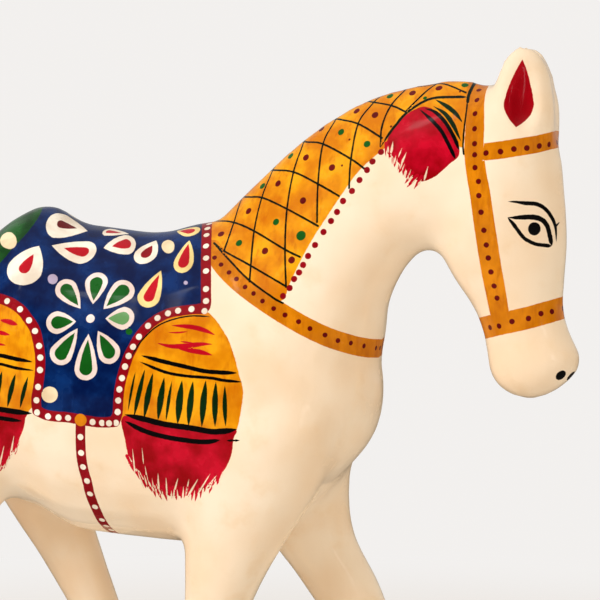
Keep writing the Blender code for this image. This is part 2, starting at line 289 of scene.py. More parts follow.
# The tassel painted on the shoulder.
SHOULDER_TASSEL = (
    (208, 312), (215, 319), (222.7, 330), (229, 341), (234.5, 357), (239, 374), (243, 390),
    (242, 404), (240, 416), (237.6, 427), (233.5, 439), (231.5, 454), (226, 467), (219, 478),
    (211, 486), (199.5, 493), (183, 496), (166, 495), (150, 489), (138, 477), (129, 458),
    (124.5, 437.6), (121, 421), (120.4, 396), (123.8, 373), (130.5, 352.6), (143, 333),
    (163, 317.5), (186, 312),
)
SHOULDER_TUFT = (
    (124.6, 415), (143.5, 419), (163.6, 424), (190.4, 428), (210.4, 431), (225, 431), (236.8, 430),
) + SHOULDER_TASSEL[10:23]
TASSEL_LINES = (
    (2.1, ((141.5, 355.6), (163.6, 361.6), (183.7, 366.3), (203.7, 371), (219.8, 372.4),
           (237, 373))),
    (1.5, ((139.5, 361.6), (163.6, 371.6), (183.7, 375.7), (210.4, 378), (223.8, 380.4),
           (242, 382))),
    (2.9, ((124.6, 414.5), (143.5, 419), (163.6, 424), (190.4, 428), (210.4, 431.5),
           (223.8, 431.2), (237, 429.4))),
    (2.5, ((124.6, 421), (143.5, 430.6), (163.6, 436.6), (183.7, 440), (203.7, 442),
           (220.5, 440))),
    (0.8, ((226.5, 440.6), (240, 440.4))),
)
TASSEL_SPINDLES = (
    ((135.4, 372), (128, 411), 1.3), ((144.8, 369.6), (134, 416.5), 2.5),
    ((152.9, 373), (144, 418.5), 3.1),
    ((164.2, 377.7), (158, 420), 3.3), ((171.9, 381), (166, 421), 1.7),
    ((182, 380.4), (177.6, 424.5), 3.6), ((193, 381), (188.3, 425.9), 3.3),
    ((205.8, 380.4), (201.7, 427), 3.4), ((215.8, 381.7), (215, 427), 3.0),
    ((224.8, 385.7), (225.6, 426.6), 2.3),
)
TASSEL_FLAMES = (
    (2.4, ((171.6, 325.4), (190.4, 326.8), (203.7, 330), (215, 335))),
    (0.9, ((168.3, 332.5), (178, 332.6), (187.7, 331.5))),
    (2.6, ((156.9, 343), (170.3, 346.2), (185, 346), (201, 344.2), (212.5, 344.2))),
    (2.6, ((174, 347), (190.4, 350.2), (203.7, 352.9), (212.5, 355.2))),
    (1.0, ((180, 341.4), (188, 342.6), (196, 344))),
)
SHOULDER_FRINGE = ((130, 460), (138, 475), (150, 487), (166, 493), (183, 494), (199.5, 491),
                   (211, 485), (219, 477))
SHOULDER_GAPS = (
    (1.1, ((158, 473), (158.6, 494))), (0.8, ((166, 478), (167, 496))),
    (0.9, ((178, 478), (173.6, 494))), (0.8, ((189, 479), (185.6, 496))),
    (1.0, ((198, 479), (187.4, 497))), (0.8, ((210, 474), (196.6, 496))),
    (0.8, ((217, 475), (204, 491))), (0.9, ((145, 466), (149, 490))),
    (0.8, ((137, 469), (144, 489))), (0.7, ((132.5, 449), (135, 474))),
    (0.5, ((142, 448), (143.5, 464))), (0.6, ((152, 478), (154, 492))),
)

# The tassel painted on the hip. Most of it lies outside the picture.
HIP_TASSEL = (
    (36, 402), (38, 387), (40, 370), (39.5, 357), (38, 345), (34, 331), (28, 320.5), (19.5, 310),
    (7, 302.5), (-10, 299), (-28, 300), (-42, 306), (-54, 318), (-62, 334), (-66, 352),
    (-67, 372), (-66, 392), (-64, 414), (-62, 430), (-57, 447), (-49, 460), (-38, 469),
    (-24, 474), (-8, 472), (4, 464), (13, 452), (19, 440), (24, 427), (26, 416),
)
HIP_TUFT = (
    (30, 413.5), (14, 411.5), (-4, 409), (-24, 409), (-46, 412), (-65, 417),
) + HIP_TASSEL[18:]
HIP_LINES = (
    (2.1, ((33, 362), (16, 359), (0, 355.4), (-20, 353), (-42, 353), (-60, 356))),
    (1.5, ((34, 370.5), (16, 368), (0, 364), (-20, 361.5), (-42, 361.5), (-62, 365))),
    (2.9, ((32, 413.5), (14, 411.5), (-4, 409), (-24, 409), (-46, 412), (-65, 417))),
    (2.3, ((22, 421), (10, 419.6), (-6, 417.4), (-24, 417.4), (-44, 420), (-62, 425))),
)
HIP_SPINDLES = (
    ((28, 376.6), (20, 408), 2.2), ((15.4, 373.8), (7.4, 407), 2.6), ((2, 371), (-5, 406), 2.9),
    ((-10, 369), (-15, 405), 3.2), ((-21, 368), (-25, 404), 3.3), ((-32, 368), (-35, 405), 3.3),
    ((-42, 369), (-45, 407), 3.0), ((-51, 371), (-54, 409), 2.4), ((-59, 373), (-61, 411), 1.5),
)
HIP_FLAMES = (
    (2.6, ((0, 320), (8, 321.5), (18, 325))),
    (2.4, ((-30, 318), (-14, 316), (0, 319))),
    (2.2, ((-12, 331), (0, 332.6), (10, 335))),
    (2.4, ((-36, 342), (-20, 339), (-4, 343.4), (6, 345.4))),
)
HIP_FRINGE = ((-56, 449), (-48, 460), (-38, 467), (-24, 472), (-8, 470), (4, 463), (13, 451),
              (18, 442))
HIP_GAPS = (
    (1.0, ((14, 436), (10, 458))), (0.8, ((4, 446), (-1, 468))), (0.9, ((-10, 452), (-13, 474))),
    (0.8, ((-24, 454), (-26, 476))), (0.9, ((-38, 450), (-42, 470))),
)


def put(name, data):
    """A new object with that data, in the scene."""
    made = bpy.data.objects.new(name, data)
    bpy.context.scene.collection.objects.link(made)
    return made


def stand(item, place, way):
    """Sets a camera or a lamp at a place, facing a way."""
    item.location = place
    item.rotation_mode = "QUATERNION"
    item.rotation_quaternion = way.to_track_quat("-Z", "Y")


class Skin:
    """The fine mesh as arrays, with the tree that rays and nearest points are found in."""

    def __init__(self, mesh):
        self.points = as_rows(mesh.vertices, "co")
        normals = as_rows(mesh.vertices, "normal")
        self.corner_point = as_counts(mesh.loops, "vertex_index")
        sizes = as_counts(mesh.polygons, "loop_total")
        self.corner_face = np.repeat(np.arange(len(sizes)), sizes)
        faces = [face.tolist() for face in np.split(self.corner_point, np.cumsum(sizes)[:-1])]
        self.tree = BVHTree.FromPolygons([tuple(p) for p in self.points], faces)
        summed = np.zeros((len(sizes), 3))
        np.add.at(summed, self.corner_face, self.points[self.corner_point])
        self.centres = summed / sizes[:, None]
        facing = np.zeros((len(sizes), 3))
        np.add.at(facing, self.corner_face, normals[self.corner_point])
        self.facing = facing / np.linalg.norm(facing, axis=1)[:, None]
        self.near = KDTree(len(sizes))
        for index, centre in enumerate(self.centres):
            self.near.insert(centre, index)
        self.near.balance()

    def seen(self, spot):
        """Where the photograph's camera sees a pixel on the skin, or None if it misses."""
        x = (spot[0] / PICTURE - 0.5) * VIEW_WIDTH / DISTANCE
        y = (0.5 - spot[1] / PICTURE) * VIEW_WIDTH / DISTANCE
        place = self.tree.ray_cast(EYE, RIGHT * x + UP * y - BACK)[0]
        if place is None or place.y > 0:
            return None
        return np.array(place)

    def snapped(self, place):
        found, _, face, _ = self.tree.find_nearest(Vector(place))
        return np.array(found), self.facing[face]


def as_rows(items, name):
    """A vector of each of a mesh's items, as the rows of an array."""
    flat = np.empty(len(items) * 3, np.float32)
    items.foreach_get(name, flat)
    return flat.reshape(-1, 3).astype(float)


def as_counts(items, name, per_item=1):
    """Whole numbers of each of a mesh's items, as one array."""
    found = np.empty(len(items) * per_item, np.int32)
    items.foreach_get(name, found)
    return found


def keep(mesh, name, kind, domain, values):
    """Keeps values on the mesh, where the shader finds them under that name."""
    kept = mesh.attributes.new(name, kind, domain)
    field = "vector" if kind == "FLOAT_VECTOR" else "value"
    kept.data.foreach_set(field, values.astype(np.float32).ravel())


def smoothed(points, edges, rounds):
    """Smooths without shrinking: each round of smoothing is followed by its inverse."""
    first, second = edges.T
    count = np.bincount(edges.ravel(), minlength=len(points))[:, None]
    for _ in range(rounds):
        for share in (SKIN_SMOOTH, -SKIN_RESTORE):
            total = np.zeros_like(points)
            for axis in range(3):
                total[:, axis] = np.bincount(first, points[second, axis], len(points))
                total[:, axis] += np.bincount(second, points[first, axis], len(points))
            points = points + share * (total / count - points)
    return points


def make_fine_skin(node):
    """A copy of the CAD horse with a fine even mesh and the slight waves of hand work."""
    piece = put("painted_horse", node.data.copy())
    grid = piece.modifiers.new("Remesh", "REMESH")
    grid.mode = "VOXEL"
    grid.voxel_size = SKIN_GRID
    graph = bpy.context.evaluated_depsgraph_get()
    made = bpy.data.meshes.new_from_object(piece.evaluated_get(graph))
    piece.modifiers.clear()
    piece.data = made
    points = as_rows(made.vertices, "co")
    edges = as_counts(made.edges, "vertices", 2).reshape(-1, 2)
    points = smoothed(points, edges, SKIN_ROUNDS)
    made.vertices.foreach_set("co", points.astype(np.float32).ravel())
    made.update()
    wave = np.array([noise.noise(Vector(p) * HAND_WAVES_PER_M) for p in points])
    points += as_rows(made.vertices, "normal") * (wave * HAND_WAVE)[:, None]
    low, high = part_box(node.name)
    points = np.clip(points, np.array(low), np.array(high))
    made.vertices.foreach_set("co", points.astype(np.float32).ravel())
    made.update()
    made.shade_smooth()
    return piece


def through(spots, step=1.0):
    """A smooth curve through the spots, in small steps."""
    rows = np.array(spots, float)
    ends = np.vstack((2 * rows[0] - rows[1], rows, 2 * rows[-1] - rows[-2]))
    found = []
    for before, start, end, after in zip(ends, ends[1:], ends[2:], ends[3:]):
        count = max(1, int(np.linalg.norm(end - start) / step))
        for k in range(count):
            t = k / count
            found.append(
                0.5
                * (
                    2 * start
                    + (end - before) * t
                    + (2 * before - 5 * start + 4 * end - after) * t**2
                    + (3 * start - before - 3 * end + after) * t**3
                )
            )
    found.append(rows[-1])
    return found


# How a stroke is carried on from the near side to the mid plane: the way it is cast back
# at the skin from outside, from how far, and the axis along which it may drift.
CARRY = {
    "top": (Vector((0, 0, -1)), 0.03, 0),
    "front": (Vector((-1, 0, 0)), 0.016, 2),
    "below": (Vector((0, 0, 1)), 0.02, 0),
}
CARRY_STEP = 0.6 * MM
CARRY_LOOKS_BACK = 8
STEEPEST_DRIFT = 1.2
LEAST_RUN = 0.05 * MM


def carried(skin, line, way):
    """Points on the skin that take a line's near end on to the mid plane.

    They keep the way that the line was going, and turn square to the mid plane as they
    meet it, so that they join their mirror image.
    """
    direction, away, drifts = CARRY[way]
    place = np.array(line[-1])
    run = place - line[max(0, len(line) - CARRY_LOOKS_BACK)]
    lean = run[drifts] / run[1] if run[1] > LEAST_RUN else 0.0
    lean = max(-STEEPEST_DRIFT, min(STEEPEST_DRIFT, lean))
    count = max(1, int(abs(place[1]) / CARRY_STEP))
    found = []
    for k in range(1, count + 1):
        share = k / count
        spot = np.array(place)
        spot[1] *= 1 - share
        spot[drifts] -= lean * place[1] * (share - share**2 / 2)
        hit = skin.tree.ray_cast(Vector(spot) - direction * away, direction)[0]
        if hit is not None:
            found.append(np.array(hit))
    return found


def on_skin(skin, spots, start_over=None, end_over=None):
    """The curve through the spots as points on the near side of the skin."""
    found = [place for place in map(skin.seen, through(spots)) if place is not None]
    if start_over:
        found = carried(skin, found[::-1], start_over)[::-1] + found
    if end_over:
        found = found + carried(skin, found, end_over)
    return np.array(found)


# Strokes are laid as short marks, at this spacing, each this much longer at both ends.
MARK_SPACING = 1.2 * MM
MARK_OVERLAP = 0.8
TAPER_FULLNESS = 0.8
SHARPEST_BEND = 0.7

# A mark is left out where the skin is further off than this.
FURTHEST_SKIN = 4 * MM

# In millimetres: how far round a mark faces are tried, how far off its own flat frame they
# may lie, how near its edge a face must come to carry it, and a gap that never shows.
REACH_MARGIN, DEEPEST, NEAREST, NO_GAP = 1.0, 2.5, 2.0, 100

# A face carries no mark that is turned away from it by more than this cosine. One mark of
# a stroke gives way to the next beyond its own half length, by this share of the distance.
LEAST_ALIGNED, GIVES_WAY = 0.25, 0.15

# A mark's columns, three each: where it is, the ways along, across and out of the skin, its
# bend and ends, its width and its ink. The last two are its reach and its half length.
PLACE, ALONG, ACROSS, OUTWARDS, SPAN, WIDTH, PIGMENT = (
    slice(first, first + 3) for first in range(0, 21, 3)
)
REACH, HALF_LENGTH = -2, -1


def unit(vector):
    return vector / np.linalg.norm(vector)


def spaced(points, spacing):
    """Positions along a line of points: at even spacing, with the line's length."""
    steps = np.linalg.norm(np.diff(points, axis=0), axis=1)
    run = np.concatenate(((0,), np.cumsum(steps)))
    length = run[-1]
    count = max(2, int(round(length / spacing)))
    stops = (np.arange(count) + 0.5) * length / count
    return run, stops, length


def along(points, run, at):
    return np.array([np.interp(at, run, points[:, axis]) for axis in range(3)]).T


# Marks drawn as they are seen look no flatter than this share to the camera.
LEAST_SEEN = 0.5

# The way along a dot. A dot is round, so any way that isn't square to the skin does.
DOT_WAY = (0.6, 0.0, 0.8)


def towards_eye(place):
    return unit(np.array(EYE) - place)


def looks_long(place, way):
    """How long a millimetre along that way on the skin looks to the camera."""
    return max(LEAST_SEEN, math.sqrt(max(0.0, 1 - way.dot(towards_eye(place)) ** 2)))


class Layer:
    """A coat of brush marks. On one face of the mesh, one mark of the coat can show."""

    def __init__(self, name, skin):
        self.name = name
        self.skin = skin
        self.rows = []

    def add_both(self, origin, tangent, bend, span, width, ink, reach, half, sides=(1, -1),
                 looks=(1.0, 1.0)):
        """Adds a mark on the near side, and its mirror image on the far side.

        Looks are the scales, along and across the mark, in which its sizes are given.
        """
        for side in sides:
            mirror = np.array((1, side, 1))
            place, normal = self.skin.snapped(origin * mirror)
            if np.linalg.norm(place - origin * mirror) > FURTHEST_SKIN:
                continue
            run = tangent * mirror
            run = unit(run - normal * run.dot(normal))
            across = np.cross(normal, run) * side
            self.rows.append(
                (
                    *(place / MM), *(run * looks[0]), *(across * looks[1]), *normal, bend,
                    *span, *width, *ink, reach / min(looks), half,
                )
            )

    def dot(self, place, radius, ink, sides=(1, -1), as_seen=False):
        """A dot, round on the skin or round as seen. The radius is in millimetres."""
        tangent, looks = np.array(DOT_WAY), (1.0, 1.0)
        if as_seen:
            normal, back = self.skin.snapped(place)[1], towards_eye(place)
            tangent = back - normal * normal.dot(back)
            looks = (max(LEAST_SEEN, normal.dot(back)), 1.0)
        self.add_both(
            place, tangent, 0, (0, 0), (radius, 0, 0), ink, radius, radius, sides, looks
        )

    def drop(self, middle, tip, radius, ink, lean):
        """A drop with a round end about its middle, drawn out to a tip, sized as seen."""
        run = middle - tip
        span = np.linalg.norm(run)
        tangent = run / span
        across = np.cross(self.skin.snapped(middle)[1], tangent)
        looks = (looks_long(middle, tangent), looks_long(middle, across))
        length = span / MM * looks[0]
        width = (radius, lean * radius / length, (lean - 1) * radius / length**2)
        self.add_both(
            middle, tangent, 0, (-length, 0), width, ink, radius + length, length, looks=looks
        )

    def stroke(self, points, half_width, ink, tapers=(0, 0), joined=(False, False)):
        """A brushed line along points on the near side. Tapers are shares of its length."""
        run, stops, length = spaced(points, MARK_SPACING)
        length_mm = length / MM
        step = length / len(stops)
        half = step / 2 / MM
        overlap = half + MARK_OVERLAP

        def width_at(at):
            at = min(max(at, 0.0), length_mm)
            width = half_width
            for taper, left in ((tapers[0], at), (tapers[1], length_mm - at)):
                if taper:
                    share = min(1.0, left / (taper * length_mm))
                    width *= math.sin(share * math.pi / 2) ** TAPER_FULLNESS
            return width

        for stop in stops:
            before, here, after = along(points, run, np.array((stop - step, stop, stop + step)))
            tangent = unit(after - before)
            normal = self.skin.snapped(here)[1]
            across = np.cross(normal, tangent)
            bend = (before + after - 2 * here).dot(across) / (step**2) * MM
            if stop - step < 0 or stop + step > length:
                bend = 0.0
            bend = max(-SHARPEST_BEND, min(SHARPEST_BEND, bend))
            at = stop / MM
            low = overlap if joined[0] else min(overlap, at)
            high = overlap if joined[1] else min(overlap, length_mm - at)
            width = width_at(at)
            gained, lost = width_at(at + high) - width, width - width_at(at - low)
            curve = (gained * low - lost * high) / (low * high * (low + high))
            slope = gained / high - curve * high
            self.add_both(
                here, tangent, bend, (-low, high), (width, slope, curve), ink,
                half_width + overlap, half,
            )

    def lay(self, mesh):
        """Gives each face of the mesh the mark of this coat that covers it best."""
        rows = np.array(self.rows)
        pairs = []
        for index, row in enumerate(rows):
            reach = (row[REACH] + REACH_MARGIN) * MM
            for _, face, _ in self.skin.near.find_range(row[PLACE] * MM, reach):
                pairs.append((index, face))
        index, face = np.array(pairs).T
        mark = rows[index]
        offset = self.skin.centres[face] / MM - mark[:, PLACE]
        x = np.sum(offset * mark[:, ALONG], axis=1)
        y = np.sum(offset * mark[:, ACROSS], axis=1)
        z = np.sum(offset * mark[:, OUTWARDS], axis=1)
        aligned = np.sum(self.skin.facing[face] * mark[:, OUTWARDS], axis=1)
        bend, low, high = mark[:, SPAN].T
        bow = 2 * y - bend * (x**2 + y**2)
        aside = bow / (1 + np.sqrt(np.maximum(0, 1 - bend * bow)))
        inside = np.clip(x, low, high)
        level, slope, curve = mark[:, WIDTH].T
        width = level + inside * (slope + inside * curve)
        gap = np.hypot(x - inside, aside) - width
        gap += GIVES_WAY * np.maximum(0, np.abs(x) - mark[:, HALF_LENGTH])
        gap[(np.abs(z) > DEEPEST) | (aligned < LEAST_ALIGNED)] = NO_GAP
        order = np.lexsort((gap, face))
        face, index, gap = face[order], index[order], gap[order]
        first = np.concatenate(((True,), face[1:] != face[:-1]))
        face, index, gap = face[first], index[first], gap[first]
        kept = gap < NEAREST
        chosen = np.full(len(self.skin.centres), -1)
        chosen[face[kept]] = index[kept]
        shown = chosen >= 0
        mark = rows[np.maximum(chosen, 0)]
        of_corner = mark[self.skin.corner_face]
        offset = self.skin.points[self.skin.corner_point] / MM - of_corner[:, PLACE]
        place = np.zeros((len(offset), 3))
        place[:, 0] = np.sum(offset * of_corner[:, ALONG], axis=1)
        place[:, 1] = np.sum(offset * of_corner[:, ACROSS], axis=1)
        place[~shown[self.skin.corner_face]] = 0
        span = np.where(shown[:, None], mark[:, SPAN], 0)
        width = np.where(shown[:, None], mark[:, WIDTH], (-NO_GAP, 0, 0))
        for what, domain, values in (
            ("place", "CORNER", place), ("span", "FACE", span), ("width", "FACE", width),
            ("ink", "FACE", mark[:, PIGMENT]),
        ):
            keep(mesh, self.name + "_" + what, "FLOAT_VECTOR", domain, values)


def inside_outline(x, z, outline):
    """Which of the points lie inside the outline, both seen square from the side."""
    found = np.zeros(len(x), bool)
    for (x0, z0), (x1, z1) in zip(outline, np.roll(outline, -1, axis=0)):
        crosses = (z0 > z) != (z1 > z)
        if z0 != z1:
            found ^= crosses & (x < (x1 - x0) * (z - z0) / (z1 - z0) + x0)
    return found


# Edges of an outline that are shorter than this are passed over.
SHORTEST_EDGE = 1e-4 * MM


def keep_region(mesh, skin, name, edge, closing=()):
    """Keeps, at each point of the skin, how far it is outside an edge in millimetres.

    The edge lies on the near side and counts on both. Closing points, in metres in X and Z,
    close its outline where nothing is painted.
    """
    folded = skin.points.copy()
    folded[:, 1] = -np.abs(folded[:, 1])
    far = np.full(len(folded), np.inf)
    line = edge if closing else np.vstack((edge, edge[:1]))
    for start, end in zip(line, line[1:]):
        run = end - start
        size = run.dot(run)
        if size < SHORTEST_EDGE**2:
            continue
        share = np.clip((folded - start) @ run / size, 0, 1)
        gap = folded - start - share[:, None] * run
        far = np.minimum(far, np.sum(gap**2, axis=1))
    far = np.sqrt(far) / MM
    outline = np.vstack((edge[:, [0, 2]], np.array(closing).reshape(-1, 2)))
    far[inside_outline(folded[:, 0], folded[:, 2], outline)] *= -1
    keep(mesh, name, "FLOAT", "POINT", far)


def px(size):
    """A length of that many pixels at the horse, in millimetres."""
    return size * PIXEL_MM


# The fringe of a tuft, in pixels: how its hairs and the nicks between them may differ.
FRINGE_EVERY = 4
MOST_SWAY = 0.2
HAIR_SHIFT, HAIR_BACK, HAIR_ON, HAIR_WIDTH = (1.2, 1), 6, (4, 10), (1.4, 2.4)
NICK_ASIDE, NICK_BACK, NICK_ON, NICK_WIDTH = (1.8, 0), (2, 9), 5, (0.35, 0.8)
HAIR_TAPERS, NICK_TAPERS, GAP_TAPERS = (0, 0.8), (0.8, 0.1), (0.75, 0.3)
SHORTEST_STROKE = 4

# Fringes: edge, gaps, and the spot below that the hairs are brushed towards.
FRINGES = (
    (SHOULDER_FRINGE, SHOULDER_GAPS, (178, 570)), (HIP_FRINGE, HIP_GAPS, (-20, 540)),
    (CHEEK_FRINGE, CHEEK_GAPS, (385, 230)),
)


def fringe(layers, skin, edge, gaps, foot, seed):
    """The ragged foot of a painted tuft, its hairs brushed towards a spot below it."""
    draw = random.Random(seed)

    def brushed(layer, ends, size, ink, tapers):
        points = on_skin(skin, ends)
        if len(points) >= SHORTEST_STROKE:
            layers[layer].stroke(points, px(size), ink, tapers)

    for spot in through(edge)[1:-1:FRINGE_EVERY]:
        away = unit(np.array(foot, float) - spot)
        away += np.array((-away[1], away[0])) * draw.uniform(-MOST_SWAY, MOST_SWAY)
        spot = spot + np.array([draw.uniform(-most, most) for most in HAIR_SHIFT])
        hair = (spot - away * HAIR_BACK, spot + away * draw.uniform(*HAIR_ON))
        beside = spot + NICK_ASIDE
        nick = (beside - away * draw.uniform(*NICK_BACK), beside + away * NICK_ON)
        hair_width, nick_width = draw.uniform(*HAIR_WIDTH), draw.uniform(*NICK_WIDTH)
        brushed("under", hair, hair_width, TUFT_RED, HAIR_TAPERS)
        brushed("over", nick, nick_width, CREAM, NICK_TAPERS)
    for size, ends in gaps:
        brushed("over", ends, size, CREAM, GAP_TAPERS)


BORDER_HALF_WIDTH = px(5.2)

# Straps: middle line, half width in pixels, and how its start and end are carried on.
STRAPS = (
    (COLLAR, 9.4, None, "front"), (CHEEK_STRAP, 10.2, "top", None),
    (BROWBAND, 8.4, None, "front"), (NOSEBAND, 10.8, None, "front"),
)

# Lines: coat, spots, half width in pixels, ink, tapers, and how they are carried on.
BLUNT = (0, 0)
LATTICE = 1.05
LINES = (
    *(("under", spots, LATTICE, INK, BLUNT, None, "top") for spots in MANE_UP),
    *(("over", spots, LATTICE, INK, BLUNT, "top") for spots in MANE_ACROSS[:-1]),
    ("over", MANE_ACROSS[-1], LATTICE, INK),
    *(("over", spots, LATTICE, INK) for spots in MANE_FOOT_LINES),
    ("under", MANE_TOP_LINE, 1.5, INK, (0.2, 0.05)),
    ("over", STRAP_LINE, 1.7, INK, BLUNT, "top"), ("over", STRAP_LINE_LOW, 0.9, INK),
    ("under", CHEEK_STRIPES[0], 1.9, BLACK, (0.3, 0.15)),
    ("over", CHEEK_STRIPES[1], 1.9, BLACK, (0.3, 0.15)),
    ("over", CHEEK_LEAVES[0], 2.3, LEAF, (0.5, 0.5)),
    ("under", CHEEK_LEAVES[1], 2.3, LEAF, (0.5, 0.5)),
    ("under", BROW, 2.0, BLACK, (0.3, 0.3)), ("under", UPPER_LID, 2.5, BLACK, (0.3, 0.1)),
    ("over", LOWER_LID, 1.8, BLACK, (0.15, 0.1)), ("over", BROW_FLICK, 1.2, BLACK, (0, 0.9)),
    ("under", SHOULDER_ARC, 0.8, INK, (0.1, 0.1)),
)
TASSEL_TAPERS, SPINDLE_TAPERS, FLAME_TAPERS = (0.16, 0.12), (0.5, 0.5), (0.5, 0.4)
SPINDLE_BOW = 0.4

# Dots: spots, radius in pixels and ink.
DOTS = (
    (MANE_RED_DOTS, 3.5, DOT_RED), (MANE_GREEN_DOTS, 3.5, PETAL_GREEN),
    ((MANE_LARGE_DOT,), 5.0, PETAL_GREEN), ((MANE_SMALL_GREEN_DOT,), 2.0, PETAL_GREEN),
    (MANE_TINY_DOTS, 1.2, DOT_RED), (MANE_EDGE_DOTS, 3.2, BORDER_RED),
    (COLLAR_DOTS, 2.5, DOT_RED), (CHEEK_DOTS, 2.7, DOT_RED), (BROW_DOTS, 2.8, DOT_RED),
    (NOSE_DOTS, 2.7, DOT_RED), ((PUPIL,), 6.4, BLACK),
    (CLOTH_FRONT_DOTS + CLOTH_SHOULDER_DOTS + CLOTH_FOOT_DOTS + CLOTH_HIP_DOTS, 3.1, WHITE),
    (GIRTH_DOTS, 3.1, WHITE), ((CLOTH_KNOB,), 6.2, OCHRE),
    ((FLOWER_MIDDLE,), 4.4, PINK_WHITE),
)
NOSTRIL_RADIUS = 5.6

# Rows of dots carried on to the mid plane: the row, its way, spacing in millimetres,
# radius in pixels and ink.
CARRIED_DOTS = (
    (COLLAR_DOTS[::-1], "front", 3.0, 2.5, DOT_RED), (CHEEK_DOTS, "top", 3.0, 2.7, DOT_RED),
    (BROW_DOTS[::-1], "front", 4.2, 2.7, DOT_RED), (NOSE_DOTS[::-1], "front", 4.2, 2.7, DOT_RED),
    (CLOTH_FRONT_DOTS, "top", 3.1, 3.1, WHITE), (GIRTH_DOTS[::-1], "below", 3.6, 3.1, WHITE),
)

# The outlines of the cloth, the rump and the mane are closed outside the horse.
ABOVE, BEHIND = 0.25, -0.12


def paint(piece):
    """Works out every mark of the ornament and keeps it on the piece's mesh."""
    mesh = piece.data
    skin = Skin(mesh)
    layers = {name: Layer(name, skin) for name in LAYERS}
    strap, under, over, dots, cores = layers.values()

    def line(layer, spots, half_width, ink, tapers=BLUNT, start=None, end=None):
        points = on_skin(skin, spots, start, end)
        layer.stroke(points, half_width, ink, tapers, (start is not None, end is not None))

    def dots_at(spots, radius, ink, as_seen=False):
        for spot in spots:
            place = skin.seen(spot)
            if place is not None:
                dots.dot(place, px(radius), ink, as_seen=as_seen)

    def drop_at(layer, spot, tip, radius, ink, lean):
        middle, end = skin.seen(spot), skin.seen(tip)
        if middle is not None and end is not None:
            layer.drop(middle, end, px(radius), ink, lean)

    def drop_with_core(spot, tip, radius, core_radius, ink, core, lean):
        share = SHORT_CORE if ink == WHITE else LONG_CORE
        core_tip = np.array(spot) + share * (np.array(tip) - np.array(spot))
        drop_at(dots, spot, tip, radius, ink, lean)
        drop_at(cores, spot, core_tip, core_radius, core, lean)

    def dots_over(spots, way, spacing, radius, ink):
        """Carries a row of dots on from its first spot on the skin to the mid plane."""
        seen = [place for place in map(skin.seen, spots) if place is not None]
        points = np.array(seen[:1] + carried(skin, seen[1::-1], way))
        run = np.concatenate(((0,), np.cumsum(np.linalg.norm(np.diff(points, axis=0), axis=1))))
        count = max(1, int(round(run[-1] / (spacing * MM))))
        for k in range(1, count + 1):
            place = along(points, run, np.array((run[-1] * k / count,)))[0]
            dots.dot(place, px(radius), ink, sides=(1,) if k == count else (1, -1))

    cloth_edges = (
        (CLOTH_FRONT, "top", None), (CLOTH_SHOULDER, None, None), (CLOTH_FOOT, None, None),
        (CLOTH_HIP, None, None), (CLOTH_HEM, None, None),
    )
    cloth = np.vstack([on_skin(skin, *row) for row in cloth_edges])
    for name, edge in (("cloth", cloth), ("rump", on_skin(skin, RUMP_OUTLINE, "top"))):
        corners = ((BEHIND, edge[-1][2]), (BEHIND, ABOVE), (edge[0][0], ABOVE))
        keep_region(mesh, skin, name, edge, corners)
    mane = on_skin(skin, MANE_OUTLINE, "top", "top")
    keep_region(mesh, skin, "mane", mane, ((mane[-1][0], ABOVE), (mane[0][0], ABOVE)))
    for name, spots in (
        ("shoulder_cap", SHOULDER_TASSEL), ("shoulder_tuft", SHOULDER_TUFT),
        ("hip_cap", HIP_TASSEL), ("hip_tuft", HIP_TUFT), ("cheek_tuft", CHEEK_TASSEL),
    ):
        keep_region(mesh, skin, name, on_skin(skin, spots + spots[:1]))

    for spots, size, start, end in STRAPS:
        line(strap, spots, px(size), OCHRE, start=start, end=end)
    line(strap, GIRTH, BORDER_HALF_WIDTH, BORDER_RED, end="below")
    for name, spots, size, *rest in LINES:
        line(layers[name], spots, px(size), *rest)
    for lines, spindles, flames in (
        (TASSEL_LINES, TASSEL_SPINDLES, TASSEL_FLAMES), (HIP_LINES, HIP_SPINDLES, HIP_FLAMES),
    ):
        for size, spots in lines:
            line(over, spots, px(size), BLACK, TASSEL_TAPERS)
        for top, foot, size in spindles:
            middle = ((top[0] + foot[0]) / 2 - SPINDLE_BOW, (top[1] + foot[1]) / 2)
            line(under, (top, middle, foot), px(size), LEAF, SPINDLE_TAPERS)
        for size, spots in flames:
            line(under, spots, px(size), RED, FLAME_TAPERS)
    for index, row in enumerate(FRINGES):
        fringe(layers, skin, *row, SEED + index)

    for row in DOTS:
        dots_at(*row)
    for row in CARRIED_DOTS:
        dots_over(*row)
    for spot in (NOSTRIL, FAR_NOSTRIL):
        dots.dot(skin.seen(spot), px(NOSTRIL_RADIUS), BLACK, sides=(1,))
    for spot, radius, ink in CLOTH_DOTS:
        dots_at((spot,), radius, ink, as_seen=True)
    for spot, tip, radius, core_radius, ink, core in DROPS + HIDDEN_DROPS:
        drop_with_core(spot, tip, radius, core_radius, ink, core, DROP_LEAN)
    for index, (end, start) in enumerate(zip(FLOWER_ENDS, FLOWER_STARTS)):
        end, start = np.array(end, float), np.array(start, float)
        run = unit(end - start)
        core = PALE_GREEN if index in PALE_PETALS else PETAL_GREEN
        drop_with_core(end - run * PETAL, start, PETAL, PETAL_CORE, PINK_WHITE, core, PETAL_LEAN)
    # The ear's drop, in red paint with painted shade for the hollow it lies in.
    drop_at(dots, EAR_DROP_MIDDLE, EAR_DROP_TIP, EAR_DROP_RADIUS, EAR_RED_WITH_PAINTED_SHADE, EAR_TIP_LEAN)
    drop_at(over, EAR_DROP_MIDDLE, EAR_DROP_FOOT, EAR_DROP_RADIUS, EAR_RED_WITH_PAINTED_SHADE, EAR_FOOT_LEAN)
    for layer in layers.values():
        layer.lay(mesh)


# Where a node that mixes takes and gives its colours.
FIRST_COLOUR, SECOND_COLOUR, MIXED_COLOUR = 6, 7, 2


